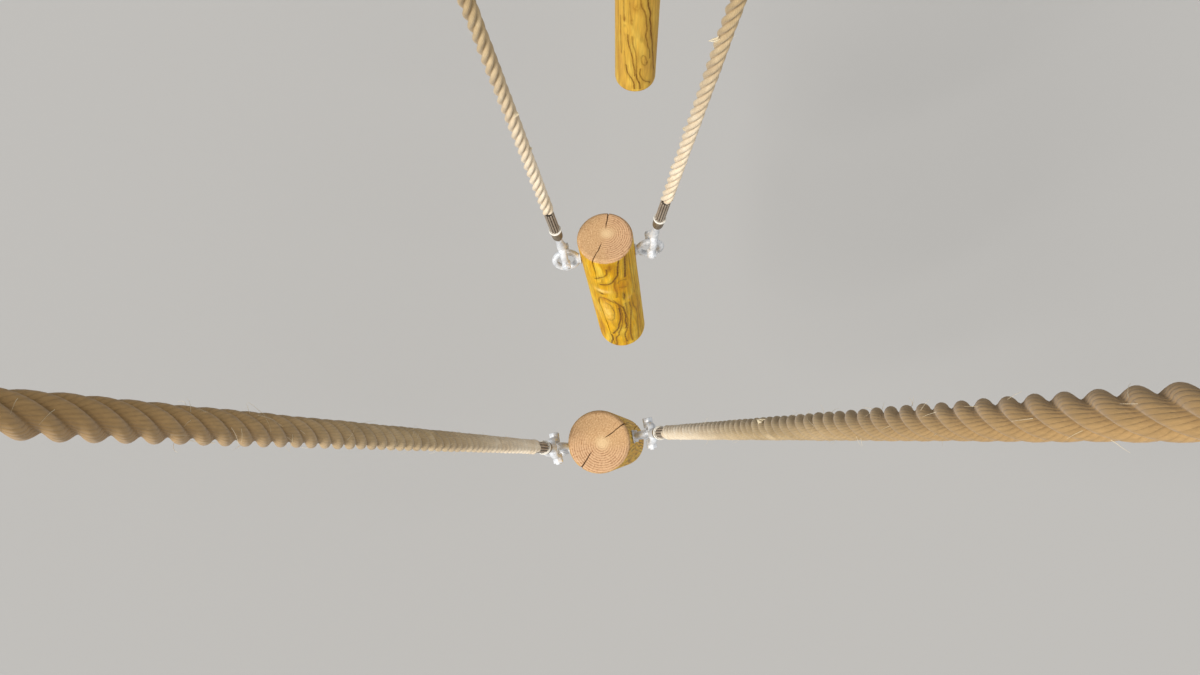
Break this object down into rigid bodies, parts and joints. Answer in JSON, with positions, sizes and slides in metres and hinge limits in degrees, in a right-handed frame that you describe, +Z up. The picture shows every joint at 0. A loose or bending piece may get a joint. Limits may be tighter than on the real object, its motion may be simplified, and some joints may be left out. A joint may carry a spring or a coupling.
{
  "type": "rope suspension footbridge with hanging log steps",
  "caption": "Suspension footbridge of upright log steps, each hung in a V of two ropes from two taut carrying cables between end beams.",
  "frame": {"origin": "centre of the near end beam's back face, at the height of the carrying cables", "axes": "+Y along the bridge from the near end to the far end, +X to the right across it, +Z up"},
  "size_m": [0.6, 3.41, 1.5313],
  "materials": {
    "pine_log": "turned, pressure-treated, weathered golden",
    "pine_beam": "sawn and chamfered, pressure-treated",
    "rope": "laid rope, matt",
    "galvanised_steel": "hot-dip galvanised",
    "cable_steel": "galvanised wire rope"
  },
  "bodies": {
    "frame": {"step_1_left_cable_clamp": "galvanised_steel", "step_1_right_cable_clamp": "galvanised_steel", "step_2_left_cable_clamp": "galvanised_steel", "step_2_right_cable_clamp": "galvanised_steel", "step_3_left_cable_clamp": "galvanised_steel", "step_3_right_cable_clamp": "galvanised_steel", "step_4_left_cable_clamp": "galvanised_steel", "step_4_right_cable_clamp": "galvanised_steel", "step_5_left_cable_clamp": "galvanised_steel", "step_5_right_cable_clamp": "galvanised_steel", "left_carrying_cable": "cable_steel", "near_left_turnbuckle": "galvanised_steel", "far_left_fork_bolt": "galvanised_steel", "right_carrying_cable": "cable_steel", "near_right_turnbuckle": "galvanised_steel", "far_right_fork_bolt": "galvanised_steel", "near_end_beam": "pine_beam", "far_end_beam": "pine_beam"},
    "step_1": {"step_1_log": "pine_log", "step_1_eye_bolt": "galvanised_steel", "step_1_left_rope": "rope", "step_1_left_end_fitting": "galvanised_steel", "step_1_right_rope": "rope", "step_1_right_end_fitting": "galvanised_steel"},
    "step_2": {"step_2_log": "pine_log", "step_2_eye_bolt": "galvanised_steel", "step_2_left_rope": "rope", "step_2_left_end_fitting": "galvanised_steel", "step_2_right_rope": "rope", "step_2_right_end_fitting": "galvanised_steel"},
    "step_3": {"step_3_log": "pine_log", "step_3_eye_bolt": "galvanised_steel", "step_3_left_rope": "rope", "step_3_left_end_fitting": "galvanised_steel", "step_3_right_rope": "rope", "step_3_right_end_fitting": "galvanised_steel"},
    "step_4": {"step_4_log": "pine_log", "step_4_eye_bolt": "galvanised_steel", "step_4_left_rope": "rope", "step_4_left_end_fitting": "galvanised_steel", "step_4_right_rope": "rope", "step_4_right_end_fitting": "galvanised_steel"},
    "step_5": {"step_5_log": "pine_log", "step_5_eye_bolt": "galvanised_steel", "step_5_left_rope": "rope", "step_5_left_end_fitting": "galvanised_steel", "step_5_right_rope": "rope", "step_5_right_end_fitting": "galvanised_steel"}
  },
  "joints": [
    {"name": "step_1_swing", "type": "hinge", "parent": "frame", "child": "step_1", "pos_m": [0, 0.635, -0.0447], "axis": [1, 0, 0], "range_deg": [-27.8, 2.2]},
    {"name": "step_2_swing", "type": "hinge", "parent": "frame", "child": "step_2", "pos_m": [0, 1.17, -0.0447], "axis": [1, 0, 0], "range_deg": [-5.4, 15]},
    {"name": "step_3_swing", "type": "hinge", "parent": "frame", "child": "step_3", "pos_m": [0, 1.705, -0.0447], "axis": [1, 0, 0], "range_deg": [-15, 15]},
    {"name": "step_4_swing", "type": "hinge", "parent": "frame", "child": "step_4", "pos_m": [0, 2.24, -0.0447], "axis": [1, 0, 0], "range_deg": [-15, 15]},
    {"name": "step_5_swing", "type": "hinge", "parent": "frame", "child": "step_5", "pos_m": [0, 2.775, -0.0447], "axis": [1, 0, 0], "range_deg": [-15, 15]}
  ]
}
